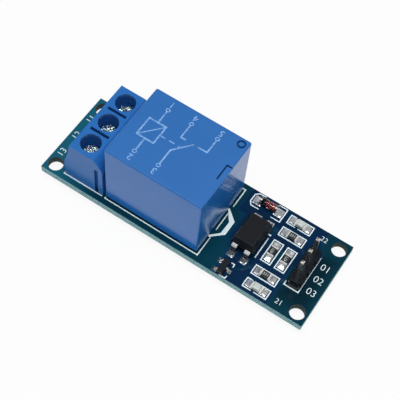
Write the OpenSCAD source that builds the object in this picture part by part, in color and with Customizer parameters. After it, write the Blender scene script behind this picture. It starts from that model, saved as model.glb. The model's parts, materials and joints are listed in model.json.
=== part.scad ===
// Single-channel relay module: a long narrow circuit board that carries a screw terminal block,
// a sealed changeover relay, its driver parts and a three-pin header.
// The origin is the centre of the four mounting holes, on the underside of the board.
// +X runs from the terminals to the header, +Z up. All sizes are in millimetres.

/* [Board] */
// Width of the board
board_w = 18; // [17:0.5:24]
// Thickness of the board
board_t = 1.6; // [1:0.1:2.4]
// Length of the board beyond the relay, for the driver parts and the header
driver_l = 21.85; // [20:0.05:30]
// Diameter of the four mounting holes
hole_d = 2.8; // [2:0.1:3.2]
// Distance from the board's edges to a mounting hole's centre
hole_inset = 1.85; // [1.7:0.05:2]
// Length of the soldered tails under the board
tail_l = 1.4; // [1.2:0.1:2.5]

/* [Terminal block] */
// Distance between two poles
pole_pitch = 5.08; // [4.9:0.02:6.2]
// Distance from the board's end to the wire side of the block
block_inset = 4.35; // [4:0.05:6]
// Depth of the block, from the wire side to the relay side
block_d = 8.2; // [8:0.1:10]
// Height of the block above the board
block_h = 10.1; // [9.6:0.1:12.5]
// Diameter of a screw well's mouth
well_d = 3.7; // [3.4:0.1:3.8]
// Diameter of a screw's thread
thread_d = 2.4; // [2:0.1:2.6]
// Thickness of the clamp's sheet metal
clamp_t = 0.6; // [0.4:0.05:0.7]
// Height that a clamp rises when its screw is tightened
clamp_travel = 1.5; // [1:0.1:1.8]

/* [Relay] */
// Length of the relay's case
relay_l = 19.1; // [18:0.1:24]
// Width of the relay's case
relay_w = 15.4; // [15:0.1:17]
// Height of the relay's top above the board
relay_h = 15.5; // [15:0.1:20]
// Gap between the terminal block and the relay
relay_gap = 0.5; // [0.3:0.1:2]
// Wall of the relay's case
case_wall = 0.8; // [0.5:0.1:1]
// Radius of the case's outer edges
case_round = 0.35; // [0.2:0.05:0.7]
// Diameter of the coil's winding
coil_d = 10; // [8:0.1:10.4]
// Diameter of the iron core
core_d = 4; // [3:0.1:5]
// Angle that the armature swings through, in degrees
swing = 3.6; // [2:0.1:4]

/* [Header] */
// Distance between two header pins
pin_pitch = 2.54; // [2.2:0.02:3.1]
// Side of a square header pin
pin_side = 0.64; // [0.5:0.02:0.8]
// Height of the pin tips above the board
pin_rise = 8.1; // [6:0.1:12]
// Distance from the board's end to the row of pins
header_inset = 4.85; // [4.6:0.05:6]

/* [Driver parts] */
// Length of a chip resistor
chip_l = 2.1; // [1.6:0.1:2.6]
// Width of a chip resistor
chip_w = 1.25; // [1:0.05:1.5]
// Length of the optocoupler's body, across its leads
opto_l = 6.5; // [5.5:0.1:7.5]
// Width of the optocoupler's body
opto_w = 4.6; // [4.4:0.1:4.8]
// Height of the optocoupler's body
opto_h = 3.5; // [3:0.1:4.2]

/* [Hidden] */

cut = 0.5;             // how far a cutting tool overshoots a face
touch = 0.05;          // running gap between faces that nearly meet
true_round = 48;       // segments of a round that carries over as a true cylinder
poles = 3;             // screw terminals in the block

// Places along the board
board_l = block_inset + block_d + relay_gap + relay_l + driver_l;
left_x = -board_l / 2;
right_x = board_l / 2;
block_x0 = left_x + block_inset;
relay_x0 = block_x0 + block_d + relay_gap;
driver_x0 = relay_x0 + relay_l;
header_x = right_x - header_inset;
hole_x = board_l / 2 - hole_inset;
hole_y = board_w / 2 - hole_inset;
edge_y = board_w / 2;
tail_z = -board_t - tail_l;      // tip of every soldered tail, measured from the deck

// Terminal block, measured from its wire side and from the deck
block_w = poles * pole_pitch + 0.16;
well_x = block_d / 2 - 0.05;     // centre of each screw
cavity_w = pole_pitch - 1.08;    // width of a clamp's cavity
cavity_l = 4.3;                  // length of a clamp's cavity
clamp_side_gap = 0.15;
clamp_end_gap = 0.2;
clamp_w = cavity_w - 2 * clamp_side_gap;
clamp_l = cavity_l - 2 * clamp_end_gap;
clamp_z = 0.8;                   // underside of an open clamp
wire_h = clamp_travel + 0.2;     // clear height for the wire in an open clamp
tongue_t = 0.6;
tongue_z = clamp_z + clamp_t + wire_h;
clamp_head_t = 0.8;              // threaded wall at the clamp's top
clamp_head_z = tongue_z + tongue_t + 0.15;
clamp_h = clamp_head_z + clamp_head_t - clamp_z;
cavity_h = clamp_z + clamp_h + clamp_travel + 0.1;
cavity_x0 = well_x - cavity_l / 2;
screw_head_d = well_d + 0.1;
screw_well_d = screw_head_d + 0.15;
screw_head_t = 0.85;
screw_face_d = screw_head_d - 0.9;   // flat top of the tapered head
screw_taper_h = 0.5;
screw_head_z = cavity_h + 0.1;
ledge_z = screw_head_z + screw_head_t + 0.3;
leg_w = 1.1;
leg_x1 = cavity_x0 + cavity_l + 0.8;
entry_w = 3.2;
entry_z0 = clamp_z + clamp_t - 0.1;
entry_z1 = tongue_z + 0.2;
entry_flare = 0.35;
entry_flare_l = 1;
groove_x = leg_x1 - 0.5;         // first edge of the interlocking groove at the block's end
groove_w = 0.75;
groove_h = 7.3;
groove_d = 0.6;
slot_w = max(0.1, pole_pitch - screw_head_d - 0.74);   // slot between two wells

// Relay, measured from its terminal end and from the deck
case_z = 0.75;
inner_l = relay_l - 2 * case_wall;
inner_w = relay_w - 2 * case_wall;
inner_top = relay_h - case_wall;
mark_d = case_wall / 2 + 0.05;   // depth of the ring and the groove in the top
base_z = 0.9;
base_top = 2;
strip_t = 0.4;                   // sheet of the contact strips
contact_d = 2;
contact_t = 0.45;
contact_x = case_wall + 1.8;     // centre of the contacts
leaf_t = 0.2;
armature_t = 1;
yoke_t = 1.2;
yoke_w = 8;
yoke_back = relay_l - 3.5;       // back face of the yoke's upright leg
magnet_top = relay_h - 4.9;      // top of the yoke and of the pole face
pole_t = 0.7;
pole_d = core_d + 2.4;
flange_t = 0.7;
tube_wall = 0.65;
core_x = (contact_x + contact_d / 2 + yoke_back - yoke_t) / 2;
winding_d = min(coil_d, yoke_back - yoke_t - contact_x - contact_d / 2 - 0.8, inner_w - 1);
armature_z = magnet_top + touch;
hinge_x = yoke_back;
pin_y = relay_w / 2 - 1.7;       // outer rows of relay pins
coil_pin_x = yoke_back - 0.5;
contact_pin_x = coil_pin_x - 12.2 * relay_l / 19.1;
common_pin_x = coil_pin_x + 2;
relay_pin_side = 0.7;
moving_low = armature_z + armature_t - contact_t;
moving_high = armature_z + armature_t + leaf_t + contact_t;
open_rise = (hinge_x - contact_x + contact_d / 2) * sin(swing);
upper_face = moving_high + open_rise + 2 * touch;
lower_face = moving_low - touch;

// Driver parts, spread over the board beyond the relay and placed from the board's edges
pad_t = 0.1;
function along(x) = driver_x0 + x * driver_l / 21.85;
opto_x = along(6.25);
opto_pitch = 2.54;
opto_span = opto_l + 2.7;
lead_t = 0.25;
lead_root = 0.4;                 // length of a lead that is moulded into its body
opto_z = pad_t + 0.1;
transistor_at = [along(5.35), -edge_y + 1.6];
transistor_size = [2.9, 1.3, 1];
transistor_z = pad_t + 0.05;
diode_at = [along(5.5), edge_y - 1.75];
diode_l = 3.5;
diode_d = 1.5;
cap_l = 0.4;
pair_x = along(12.05);           // centre of the outer resistors and both LEDs
outer_chip_y = edge_y - 4.5;
led_y = edge_y - 1.65;
chip_half_gap = 1.37;            // half the distance between the two middle resistors
chip_h = 0.5;
led_l = 2.1;
led_w = 1.25;
led_base_t = 0.3;
led_lens_t = 0.45;
pad_l = 1.3;
pad_x = chip_l / 2 + 0.35;

// Places of the soldered through-hole leads: [x, y, size along x, size along y]
function pole_y(k) = (k - (poles + 1) / 2) * pole_pitch;
function pin_row_y(k) = (k - 2) * pin_pitch;
lead_spots = concat(
    [for (k = [1:poles]) [block_x0 + leg_x1 - tongue_t / 2, pole_y(k), tongue_t, leg_w]],
    [for (s = [-1, 1]) [relay_x0 + contact_pin_x, s * pin_y, 1.2, strip_t]],
    [for (s = [-1, 1]) [relay_x0 + coil_pin_x, s * pin_y, relay_pin_side, relay_pin_side]],
    [[relay_x0 + common_pin_x, 0, strip_t, 1.2]],
    [for (k = [1:3]) [header_x, pin_row_y(k), pin_side, pin_side]]);
function drill(spot) = norm([spot[2], spot[3]]) + 0.12;

// Tinned pads on top of the board: [x, y, size along x, size along y]
function chip_pads(x, y, along_x) = [for (s = [-1, 1]) along_x
    ? [x + s * pad_x, y, pad_l, chip_w + 0.1]
    : [x, y + s * pad_x, chip_w + 0.1, pad_l]];
top_pads = concat(
    [for (s = [-1, 1]) each chip_pads(pair_x, s * outer_chip_y, true)],
    [for (s = [-1, 1]) each chip_pads(pair_x, s * led_y, true)],
    [for (s = [-1, 1]) each chip_pads(pair_x + s * chip_half_gap, 0, false)],
    [for (s = [-1, 1]) [diode_at.x + s * (diode_l / 2 + 0.45), diode_at.y, 1.5, 1.7]],
    [for (sx = [-1, 1], sy = [-1, 1])
        [opto_x + sx * opto_pitch / 2, sy * (opto_span / 2 - 0.4), 1.4, 1.5]],
    [for (s = [-1, 1]) [transistor_at.x - 1.15, transistor_at.y + s * 0.95, 0.9, 0.8]],
    [[transistor_at.x + 1.15, transistor_at.y, 0.9, 0.8]]);

// Point on a quadratic curve from a to c that leans towards b
function bend(a, b, c, t) = (1 - t) * (1 - t) * a + 2 * t * (1 - t) * b + t * t * c;
// Outline of a strip of thickness t that follows a path of points
function path_normal(p, i) = let (
    d = p[min(i + 1, len(p) - 1)] - p[max(i - 1, 0)]) [-d.y, d.x] / norm(d);
function strip(p, t) = concat(
    [for (i = [0:len(p) - 1]) p[i] + path_normal(p, i) * t / 2],
    [for (i = [len(p) - 1:-1:0]) p[i] - path_normal(p, i) * t / 2]);
function turned(p, centre, a) = centre + [
    (p.x - centre.x) * cos(a) - (p.y - centre.y) * sin(a),
    (p.x - centre.x) * sin(a) + (p.y - centre.y) * cos(a)];

module on_deck() translate([0, 0, board_t]) children();
module at_block() on_deck() translate([block_x0, 0, 0]) children();
module at_pole(k) at_block() translate([well_x, pole_y(k), 0]) children();
module at_relay() on_deck() translate([relay_x0, 0, 0]) children();

// A box given by its lowest and highest corners
module span(low, high) translate(low) cube(high - low);

// Extrudes an outline drawn in X and Z along Y, centred on Y = 0
module side_profile(width) rotate([90, 0, 0]) linear_extrude(width, center = true) children();

// A rectangle with true round corners
module round_rect(size, r) {
    square([size.x - 2 * r, size.y], center = true);
    square([size.x, size.y - 2 * r], center = true);
    for (sx = [-1, 1], sy = [-1, 1])
        translate([sx * (size.x / 2 - r), sy * (size.y / 2 - r)]) circle(r, $fn = 32);
}

// A moulded body whose four sides lean in by draft above and below its parting line
module moulded_body(size, draft) intersection() {
    side_profile(size.y + 1) parting_outline(size.x, size.z, draft.x);
    rotate(90) side_profile(size.x + 1) parting_outline(size.y, size.z, draft.y);
}

module parting_outline(width, height, draft) polygon([
    [-width / 2 + draft, 0], [width / 2 - draft, 0], [width / 2, height / 2],
    [width / 2 - draft, height], [-width / 2 + draft, height], [-width / 2, height / 2]]);

module circuit_board() color([0.03, 0.27, 0.35]) difference() {
    span([left_x, -edge_y, 0], [right_x, edge_y, board_t]);
    for (sx = [-1, 1], sy = [-1, 1]) translate([sx * hole_x, sy * hole_y, -cut])
        cylinder(board_t + 2 * cut, d = hole_d, $fn = true_round);
    for (s = lead_spots) translate([s[0], s[1], -cut])
        cylinder(board_t + 2 * cut, d = drill(s), $fn = true_round);
}

// A solder cone hangs under each through-hole lead and leaves the lead's tip bare
module solder_joints() color("silver") for (s = lead_spots) difference() {
    pad_r = drill(s) / 2 + 0.35;
    tip_r = drill(s) / 2 + 0.06;
    translate([s[0], s[1], 0]) rotate_extrude($fn = true_round) polygon([
        [0, 0], [pad_r, 0], [pad_r - 0.1, -0.2],
        [(pad_r + tip_r) / 2 - 0.15, -0.5], [tip_r, -tail_l * 0.7], [0, -tail_l * 0.7]]);
    translate([s[0] - s[2] / 2, s[1] - s[3] / 2, -tail_l]) cube([s[2], s[3], tail_l + cut]);
}

module solder_pads() color("silver") on_deck() for (p = top_pads)
    translate([p[0] - p[2] / 2, p[1] - p[3] / 2, 0]) cube([p[2], p[3], pad_t]);

// Side outline of the terminal block: the wire side leans back above the wire entries, and the
// relay side is rounded off from the top ridge to its shoulder
function housing_outline() = let (
    ridge = [well_x + well_d / 2 + 0.5, block_h], shoulder = [block_d, block_h - 2.8]) concat(
    [[0, 0], [block_d, 0]],
    [for (i = [0:6]) bend(shoulder, [block_d - 0.6, block_h - 0.9], ridge, i / 6)],
    [[1.35, block_h], [0.9, block_h - 2.9], [0, entry_z1 + 0.6]]);

module dovetail(depth, slack) polygon([
    [slack, -slack], [groove_w - slack, -slack], [groove_w + 0.12 - slack, depth], [slack - 0.12, depth]]);

module wire_entry() {
    inner_x = cavity_x0 + cut;
    half = entry_w / 2;
    intersection() {
        side_profile(cavity_w + 1) polygon([
            [-cut, entry_z0 - entry_flare], [0, entry_z0 - entry_flare],
            [entry_flare_l, entry_z0], [inner_x, entry_z0], [inner_x, entry_z1],
            [entry_flare_l, entry_z1], [0, entry_z1 + entry_flare], [-cut, entry_z1 + entry_flare]]);
        linear_extrude(block_h) polygon([
            [-cut, -half - entry_flare], [0, -half - entry_flare], [entry_flare_l, -half],
            [inner_x, -half], [inner_x, half],
            [entry_flare_l, half], [0, half + entry_flare], [-cut, half + entry_flare]]);
    }
}

module terminal_housing() color([0.2, 0.41, 0.76]) at_block() {
    difference() {
        side_profile(block_w) polygon(housing_outline());
        for (k = [1:poles]) translate([0, pole_y(k), 0]) {
            translate([well_x, 0, 0]) {
                translate([0, 0, cavity_h - cut]) cylinder(block_h, d = well_d, $fn = true_round);
                translate([0, 0, cavity_h - cut])
                    cylinder(ledge_z - cavity_h + cut, d = screw_well_d, $fn = true_round);
            }
            span([cavity_x0, -cavity_w / 2, -cut], [cavity_x0 + cavity_l, cavity_w / 2, cavity_h]);
            span([cavity_x0, -leg_w / 2 - touch, -cut],
                [leg_x1, leg_w / 2 + touch, tongue_z + tongue_t + touch]);
            wire_entry();
        }
        for (k = [1:poles - 1])
            translate([0, pole_y(k) + pole_pitch / 2, 0])
                span([well_x - 1.9, -slot_w / 2, block_h - 3.2], [well_x + 1.9, slot_w / 2, block_h + cut]);
        translate([groove_x, -block_w / 2, -cut]) linear_extrude(groove_h + cut) dovetail(groove_d, 0);
    }
    translate([groove_x, block_w / 2, 0]) linear_extrude(groove_h - 0.3) dovetail(groove_d - 0.1, 0.08);
}

// Screw with a cross recess, trapped under the narrower mouth of its well
module terminal_screw(k) color("lightgray") at_pole(k) difference() {
    union() {
        translate([0, 0, tongue_z + tongue_t + touch])
            cylinder(screw_head_z - tongue_z - tongue_t, d = thread_d, $fn = true_round);
        translate([0, 0, screw_head_z])
            cylinder(screw_head_t - screw_taper_h, d = screw_head_d, $fn = true_round);
        translate([0, 0, screw_head_z + screw_head_t - screw_taper_h])
            cylinder(screw_taper_h, d1 = screw_head_d, d2 = screw_face_d, $fn = true_round);
    }
    for (turn = [0, 90]) rotate(turn)
        span([-1.2, -0.25, screw_head_z + screw_head_t - 0.5], [1.2, 0.25, ledge_z]);
}

// Folded box clamp, open towards the wire, with the screw's thread in its top wall
module terminal_clamp(k) color("silver") at_pole(k) difference() {
    translate([-clamp_l / 2, 0, clamp_z + clamp_h / 2]) rotate([90, 0, 90])
        linear_extrude(clamp_l) round_rect([clamp_w, clamp_h], 0.45);
    span([-clamp_l / 2 - cut, -clamp_w / 2 + clamp_t, clamp_z + clamp_t],
        [clamp_l / 2 + cut, clamp_w / 2 - clamp_t, clamp_head_z]);
    translate([0, 0, clamp_head_z - cut])
        cylinder(clamp_head_t + 2 * cut, d = thread_d + 0.1, $fn = true_round);
}

// Contact strip: a tongue that passes through the clamp, and a leg down through the board
module terminal_contact(k) color("gainsboro") at_pole(k) {
    x0 = -clamp_l / 2 + 0.1;
    x1 = leg_x1 - well_x;
    half = clamp_w / 2 - clamp_t - 0.1;
    span([x0, -half, tongue_z], [cavity_l / 2 - 0.05, half, tongue_z + tongue_t]);
    span([x0, -leg_w / 2, tongue_z], [x1, leg_w / 2, tongue_z + tongue_t]);
    span([x1 - tongue_t, -leg_w / 2, tail_z], [x1, leg_w / 2, tongue_z + tongue_t]);
}

// Box with rounded upright and top edges and a flat open underside
module rounded_case(l, w, z0, z1, r) {
    translate([l / 2, 0, z0]) linear_extrude(z1 - r - z0) round_rect([l, w], r);
    span([r, -w / 2 + r, z0], [l - r, w / 2 - r, z1]);
    for (s = [-1, 1]) {
        translate([r, s * (w / 2 - r), z1 - r]) rotate([0, 90, 0])
            cylinder(l - 2 * r, r = r, $fn = 32);
        translate([l / 2 + s * (l / 2 - r), -w / 2 + r, z1 - r]) rotate([-90, 0, 0])
            cylinder(w - 2 * r, r = r, $fn = 32);
    }
    for (x = [r, l - r], y = [-w / 2 + r, w / 2 - r])
        translate([x, y, z1 - r]) sphere(r, $fn = 32);
}

module relay_case() color([0.21, 0.42, 0.73]) at_relay() difference() {
    rounded_case(relay_l, relay_w, case_z, relay_h, case_round);
    span([case_wall, -inner_w / 2, case_z - cut], [relay_l - case_wall, inner_w / 2, inner_top]);
    // Sunk ring near one corner of the top
    translate([relay_l - 1.3, relay_w / 2 - 1.35, relay_h - mark_d]) difference() {
        cylinder(1, d = 1.65, $fn = true_round);
        translate([0, 0, -cut]) cylinder(2, d = 0.9, $fn = true_round);
    }
    // Hooked groove that runs to the top's driver end
    span([relay_l - 1.17, -1.6, relay_h - mark_d], [relay_l - 0.88, 1.7, relay_h + cut]);
    span([relay_l - 1.17, 1.41, relay_h - mark_d], [relay_l + cut, 1.7, relay_h + cut]);
}

// Base plate on four feet; each terminal stands in a close slot, and two posts back the contacts
module relay_base() color([0.16, 0.32, 0.6]) at_relay() difference() {
    x0 = case_wall;
    x1 = relay_l - case_wall;
    y1 = inner_w / 2;
    union() {
        span([x0, -y1, base_z], [x1, y1, base_top]);
        for (x = [x0, x1 - 1.5], y = [-y1, y1 - 1.5]) span([x, y, 0], [x + 1.5, y + 1.5, base_top]);
        for (s = [-1, 1]) translate([0, s * (pin_y + strip_t / 2 + 0.2), 0])
            span([contact_pin_x - 0.9, -0.2, base_z], [contact_pin_x + 0.9, 0.2, magnet_top - 1.6]);
    }
    for (s = [-1, 1]) {
        translate([contact_pin_x, s * pin_y, 0])
            span([-0.6, -strip_t / 2, -cut], [0.6, strip_t / 2, magnet_top]);
        translate([coil_pin_x, s * pin_y, 0])
            span([-relay_pin_side / 2, -relay_pin_side / 2, -cut],
                [relay_pin_side / 2, relay_pin_side / 2, magnet_top]);
    }
    span([common_pin_x - strip_t / 2, -0.6, -cut], [common_pin_x + strip_t / 2, 0.6, magnet_top]);
}

// L-shaped iron yoke with two rivets on its back that hold the leaf spring
module relay_yoke() color("gray") at_relay() {
    difference() {
        union() {
            span([core_x - pole_d / 2, -yoke_w / 2, base_top], [yoke_back, yoke_w / 2, base_top + yoke_t]);
            span([yoke_back - yoke_t, -yoke_w / 2, base_top], [yoke_back, yoke_w / 2, magnet_top]);
        }
        translate([core_x, 0, base_top - cut])
            cylinder(yoke_t + 2 * cut, d = core_d - 1.4, $fn = true_round);
    }
    for (s = [-1, 1]) yoke_rivet(s, leaf_t + strip_t + 0.25, 0);
}

module yoke_rivet(side, length, slack) translate([yoke_back, side * 1.2, base_top + 2.6])
    rotate([0, 90, 0]) cylinder(length, d = 1 + slack, $fn = true_round);

module relay_core() color("dimgray") at_relay() translate([core_x, 0, 0]) {
    translate([0, 0, base_top]) cylinder(yoke_t, d = core_d - 1.4, $fn = true_round);
    translate([0, 0, base_top + yoke_t])
        cylinder(magnet_top - pole_t - base_top - yoke_t, d = core_d, $fn = true_round);
    translate([0, 0, magnet_top - pole_t]) cylinder(pole_t, d = pole_d, $fn = true_round);
}

bobbin_z0 = base_top + yoke_t;
bobbin_z1 = magnet_top - pole_t;
bobbin_w = winding_d + 0.8;

// Bobbin with two arms that carry the coil pins beside the yoke
module relay_bobbin() color("ivory") at_relay() difference() {
    union() {
        for (z = [bobbin_z0, bobbin_z1 - flange_t]) translate([core_x, 0, z])
            linear_extrude(flange_t) round_rect([bobbin_w, bobbin_w], 1);
        translate([core_x, 0, bobbin_z0])
            cylinder(bobbin_z1 - bobbin_z0, d = core_d + 0.1 + 2 * tube_wall, $fn = true_round);
        for (s = [0, 1]) mirror([0, s, 0]) {
            span([core_x, pin_y - 1.2, bobbin_z0], [coil_pin_x + 0.9, pin_y + 0.7, bobbin_z0 + flange_t]);
            span([core_x, core_d / 2 + 1, bobbin_z0], [core_x + 2, pin_y, bobbin_z0 + flange_t]);
        }
    }
    translate([core_x, 0, bobbin_z0 - cut])
        cylinder(bobbin_z1 - bobbin_z0 + 2 * cut, d = core_d + 0.1, $fn = true_round);
    for (s = [-1, 1]) translate([coil_pin_x, s * pin_y, 0])
        span([-relay_pin_side / 2, -relay_pin_side / 2, 0],
            [relay_pin_side / 2, relay_pin_side / 2, bobbin_z1]);
}

// Winding between the flanges, and the wire's ends wrapped round the two coil pins
module relay_coil() color([0.72, 0.36, 0.16]) at_relay() {
    translate([core_x, 0, bobbin_z0 + flange_t]) difference() {
        cylinder(bobbin_z1 - bobbin_z0 - 2 * flange_t, d = winding_d, $fn = true_round);
        translate([0, 0, -cut])
            cylinder(bobbin_z1 - bobbin_z0 + cut, d = core_d + 0.1 + 2 * tube_wall, $fn = true_round);
    }
    for (s = [-1, 1]) translate([coil_pin_x, s * pin_y, bobbin_z0 + flange_t]) difference() {
        cylinder(0.5, d = relay_pin_side * 1.42 + 0.3, $fn = true_round);
        span([-relay_pin_side / 2, -relay_pin_side / 2, -cut],
            [relay_pin_side / 2, relay_pin_side / 2, 1]);
    }
}

// Turns a part of the armature up to its rest position about the yoke's top edge
module swung_open() translate([hinge_x, 0, magnet_top]) rotate([0, swing, 0])
    translate([-hinge_x, 0, -magnet_top]) children();

armature_x0 = contact_x + contact_d / 2 + 0.9;
armature_x1 = yoke_back - 0.25;
armature_rivet_x = (armature_x0 + armature_x1) / 2;

module relay_armature() color("darkgray") at_relay() swung_open() {
    side_profile(yoke_w - 0.4) polygon([
        [armature_x0, armature_z], [armature_x1, armature_z],
        [armature_x1, armature_z + armature_t - 0.4], [armature_x1 - 0.4, armature_z + armature_t],
        [armature_x0, armature_z + armature_t]]);
    translate([armature_rivet_x, 0, armature_z + armature_t])
        cylinder(leaf_t + 0.3, d = 1.4, $fn = true_round);
}

// Leaf spring: from the contact over the armature, round its back edge and down the yoke's back
function leaf_path() = let (
    pivot = [hinge_x, magnet_top],
    z = armature_z + armature_t + leaf_t / 2,
    back = yoke_back + leaf_t / 2,
    tip = turned([contact_x - 0.8, z], pivot, -swing),
    flat_end = turned([armature_x1 - 0.42, z], pivot, -swing),
    over = turned([armature_x1 - 0.3, z], pivot, -swing),
    side = [back + 0.15, magnet_top - 0.1],
    low = [back, magnet_top - 1]) concat(
    [tip, flat_end], [for (i = [0:6]) bend(over, [side.x, over.y], side, i / 6)],
    [low, [back, base_top + 1.4]]);

module relay_leaf_spring() color("goldenrod") at_relay() difference() {
    union() {
        intersection() {
            side_profile(5) polygon(strip(leaf_path(), leaf_t));
            span([armature_x0 + 1, -5, 0], [relay_l, 5, relay_h]);
        }
        intersection() {
            side_profile(2.8) polygon(strip(leaf_path(), leaf_t));
            span([0, -5, 0], [armature_x0 + 1, 5, relay_h]);
        }
    }
    swung_open() {
        translate([armature_rivet_x, 0, armature_z]) cylinder(3, d = 1.4, $fn = true_round);
        translate([contact_x, 0, armature_z]) cylinder(3, d = 0.9, $fn = true_round);
    }
    for (s = [-1, 1]) yoke_rivet(s, 3, 0);
}

module relay_moving_contact() color("silver") at_relay() swung_open()
    translate([contact_x, 0, moving_low]) {
        cylinder(contact_t, d = contact_d, $fn = true_round);
        cylinder(moving_high - moving_low, d = 0.9, $fn = true_round);
        translate([0, 0, contact_t + leaf_t]) cylinder(contact_t, d = contact_d, $fn = true_round);
    }

// Fixed contact on a strip that stands at one side and reaches in under or over the armature's tip
module fixed_contact(side, face, up) {
    z0 = up ? face - contact_t - strip_t : face + contact_t;
    translate([contact_x, 0, min(face, face - (up ? contact_t : -contact_t))])
        cylinder(contact_t, d = contact_d, $fn = true_round);
    mirror([0, side < 0 ? 1 : 0, 0]) {
        span([contact_x - 1.2, -1.2, z0], [contact_x + 1.2, pin_y + strip_t / 2, z0 + strip_t]);
        span([contact_pin_x - 0.6, pin_y - strip_t / 2, tail_z],
            [contact_pin_x + 0.6, pin_y + strip_t / 2, z0 + strip_t]);
    }
}

module relay_contact_closed() color("goldenrod") at_relay() fixed_contact(1, upper_face, false);
module relay_contact_open() color("goldenrod") at_relay() fixed_contact(-1, lower_face, true);

// Common terminal: a leg through the base, a step to the yoke and a lug under the rivets
module relay_common_terminal() color("goldenrod") at_relay() difference() {
    lug_x = yoke_back + leaf_t;
    step_z = base_top + 0.2;
    union() {
        span([common_pin_x - strip_t / 2, -0.6, tail_z],
            [common_pin_x + strip_t / 2, 0.6, step_z + strip_t]);
        span([lug_x, -0.6, step_z], [common_pin_x + strip_t / 2, 0.6, step_z + strip_t]);
        span([lug_x, -2, step_z], [lug_x + strip_t, 2, base_top + 3.6]);
    }
    for (s = [-1, 1]) yoke_rivet(s, 3, 0);
}

module relay_coil_pin(side) color("gainsboro") at_relay() translate([coil_pin_x, side * pin_y, 0])
    span([-relay_pin_side / 2, -relay_pin_side / 2, tail_z],
        [relay_pin_side / 2, relay_pin_side / 2, bobbin_z0 + flange_t + 1]);

// Centre lines of the leads, as [offset along the body, side]
opto_leads = [for (sx = [-1, 1], sy = [0, 1]) [sx * opto_pitch / 2, sy]];
transistor_lead_list = [[0, 0], [-0.95, 1], [0.95, 1]];

module optocoupler_body() color([0.12, 0.13, 0.15]) on_deck() translate([opto_x, 0, opto_z]) difference() {
    moulded_body([opto_w, opto_l, opto_h], [0.55, 0.5]);
    lead_pockets(opto_leads, opto_l / 2, opto_h / 2, lead_t, 1);
}

module optocoupler_leads() color("silver") on_deck() translate([opto_x, 0, 0])
    gull_wings(opto_leads, opto_l / 2, opto_z + opto_h / 2, opto_span / 2, lead_t, 1);

// Gull-wing leads: out of the body's side at y0 and height z, down, and out along the pad to y1
module gull_wings(leads, y0, z, y1, t, width) for (lead = leads) mirror([0, lead.y, 0]) {
    knee = (y1 - y0) * 0.25;
    path = [[y0 - lead_root, z], [y0 + knee, z], [y0 + knee + 0.12, z - 0.12],
        [y0 + 2 * knee - 0.1, pad_t + t / 2 + 0.12], [y0 + 2 * knee, pad_t + t / 2], [y1, pad_t + t / 2]];
    translate([lead.x, 0, 0]) rotate([90, 0, 90])
        linear_extrude(width, center = true) polygon(strip(path, t));
}

module lead_pockets(leads, y0, z, t, width) for (lead = leads) mirror([0, lead.y, 0])
    translate([lead.x, 0, z]) span([-width / 2, y0 - lead_root, -t / 2], [width / 2, y0 + 1, t / 2]);

module at_transistor() on_deck() translate(transistor_at) rotate(-90) children();

module transistor_body() color([0.1, 0.11, 0.13]) at_transistor() translate([0, 0, transistor_z])
    difference() {
        moulded_body(transistor_size, [0.08, 0.12]);
        lead_pockets(transistor_lead_list, transistor_size.y / 2, transistor_size.z / 2, 0.14, 0.4);
    }

module transistor_leads() color("silver") at_transistor()
    gull_wings(transistor_lead_list, transistor_size.y / 2, transistor_z + transistor_size.z / 2,
        1.2, 0.14, 0.4);

module at_diode() on_deck() translate([diode_at.x, diode_at.y, pad_t + diode_d / 2]) rotate([0, 90, 0])
    children();

module diode_glass() color([0.6, 0.16, 0.12]) at_diode()
    cylinder(diode_l - 2 * cap_l, d = diode_d - 0.1, center = true, $fn = true_round);

module diode_caps() color("silver") at_diode() for (s = [-1, 1])
    translate([0, 0, s * (diode_l - cap_l) / 2])
        cylinder(cap_l, d = diode_d, center = true, $fn = true_round);

// Chip resistor: a thin slab whose metal ends wrap round it
module chip_resistor(at, turn) color([0.13, 0.13, 0.14]) on_deck()
    translate([at.x, at.y, pad_t]) rotate(turn) {
        span([-chip_l / 2, -chip_w / 2 + 0.03, 0.03], [chip_l / 2, chip_w / 2 - 0.03, chip_h - 0.03]);
        for (s = [-1, 1]) translate([s * (chip_l / 2 - 0.17), 0, chip_h / 2])
            cube([0.34, chip_w, chip_h], center = true);
    }

module led_base(y) color("gainsboro") on_deck() translate([pair_x, y, pad_t])
    span([-led_l / 2, -led_w / 2, 0], [led_l / 2, led_w / 2, led_base_t]);

// Clear lens moulded on the LED's base, its ends sloped in
module led_lens(y) color([0.85, 0.87, 0.78, 0.8]) on_deck() translate([pair_x, y, pad_t + led_base_t])
    side_profile(led_w) polygon([
        [-led_l / 2 + 0.3, 0], [led_l / 2 - 0.3, 0],
        [led_l / 2 - 0.38, led_lens_t], [-led_l / 2 + 0.38, led_lens_t]]);

// Header base: one eight-sided segment for each pin
module header_base() color([0.08, 0.08, 0.09]) on_deck() translate([header_x, 0, 0]) difference() {
    for (k = [1:3]) translate([0, pin_row_y(k), 0]) linear_extrude(2.5) polygon([
        [-1.25, -pin_pitch / 2 + 0.45], [-0.8, -pin_pitch / 2], [0.8, -pin_pitch / 2],
        [1.25, -pin_pitch / 2 + 0.45], [1.25, pin_pitch / 2 - 0.45], [0.8, pin_pitch / 2],
        [-0.8, pin_pitch / 2], [-1.25, pin_pitch / 2 - 0.45]]);
    for (k = [1:3]) translate([0, pin_row_y(k), 0])
        span([-pin_side / 2, -pin_side / 2, -cut], [pin_side / 2, pin_side / 2, 3]);
}

// Square pin with both ends bevelled on all four sides
module header_pin(k) color("lightgray") on_deck() translate([header_x, pin_row_y(k), 0])
    intersection() {
        side_profile(pin_side) pin_outline();
        rotate(90) side_profile(pin_side) pin_outline();
    }

module pin_outline() {
    h = pin_side / 2;
    bevel = 0.15;
    polygon([[-h + bevel, tail_z], [h - bevel, tail_z], [h, tail_z + 2 * bevel],
        [h, pin_rise - 2 * bevel], [h - bevel, pin_rise], [-h + bevel, pin_rise],
        [-h, pin_rise - 2 * bevel], [-h, tail_z + 2 * bevel]]);
}

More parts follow.
